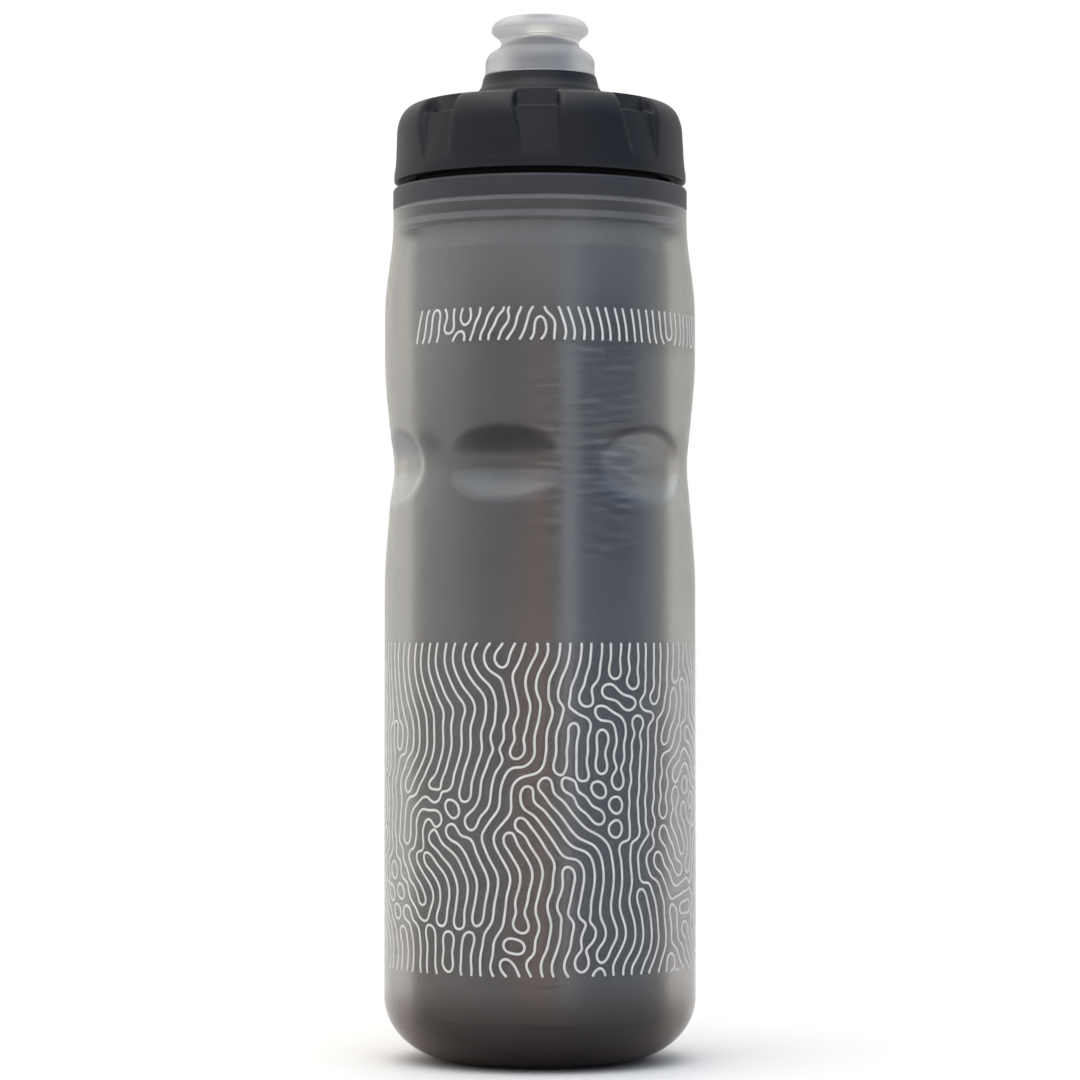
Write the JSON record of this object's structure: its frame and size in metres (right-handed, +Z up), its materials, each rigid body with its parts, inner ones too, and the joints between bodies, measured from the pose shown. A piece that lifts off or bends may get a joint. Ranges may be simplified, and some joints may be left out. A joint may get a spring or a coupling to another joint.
{
  "type": "insulated squeeze water bottle",
  "caption": "Double-wall insulated squeeze bottle for a bicycle cage, with a finger waist, a screw cap with grip recesses and a push-pull nozzle.",
  "frame": {"origin": "centre of the base, on the surface the bottle stands on", "axes": "+Z up the bottle's axis to the nozzle; -Y is the front, where the printed band is centred; +X to the viewer's right"},
  "size_m": [0.074, 0.074, 0.2483],
  "materials": {
    "shell_plastic": "frosted, smoke-grey translucent LDPE",
    "liner_plastic": "satin LDPE",
    "foil": "creased metallised film",
    "collar_plastic": "satin moulded",
    "seal_rubber": "satin silicone",
    "cap_plastic": "fine moulded texture",
    "post_plastic": "semi-gloss moulded",
    "o_ring_rubber": "satin nitrile",
    "sleeve_plastic": "clear bluish moulded",
    "valve_silicone": "translucent silicone",
    "mouthpiece_silicone": "translucent frosted silicone"
  },
  "bodies": {
    "bottle": {"outer_shell": "shell_plastic", "inner_liner": "liner_plastic", "foil_wrap": "foil", "neck_collar": "collar_plastic"},
    "seal": {"cap_seal": "seal_rubber"},
    "cap": {"cap": "cap_plastic", "spout_post": "post_plastic", "spout_o_ring": "o_ring_rubber"},
    "nozzle": {"nozzle_sleeve": "sleeve_plastic", "flow_valve": "valve_silicone", "mouthpiece": "mouthpiece_silicone"}
  },
  "joints": [
    {"name": "cap_lift", "type": "slide", "parent": "bottle", "child": "seal", "axis": [0, 0, 1], "range_m": [0, 0.0075]},
    {"name": "cap_turn", "type": "hinge", "parent": "seal", "child": "cap", "pos_m": [0, 0, 0.2087], "axis": [0, 0, 1], "range_deg": [0, 450]},
    {"name": "nozzle_pull", "type": "slide", "parent": "cap", "child": "nozzle", "axis": [0, 0, 1], "range_m": [0, 0.006]}
  ],
  "couplings": [
    {"joint": "cap_lift", "follows": "cap_turn", "m_per_rad": 0.00095493}
  ]
}
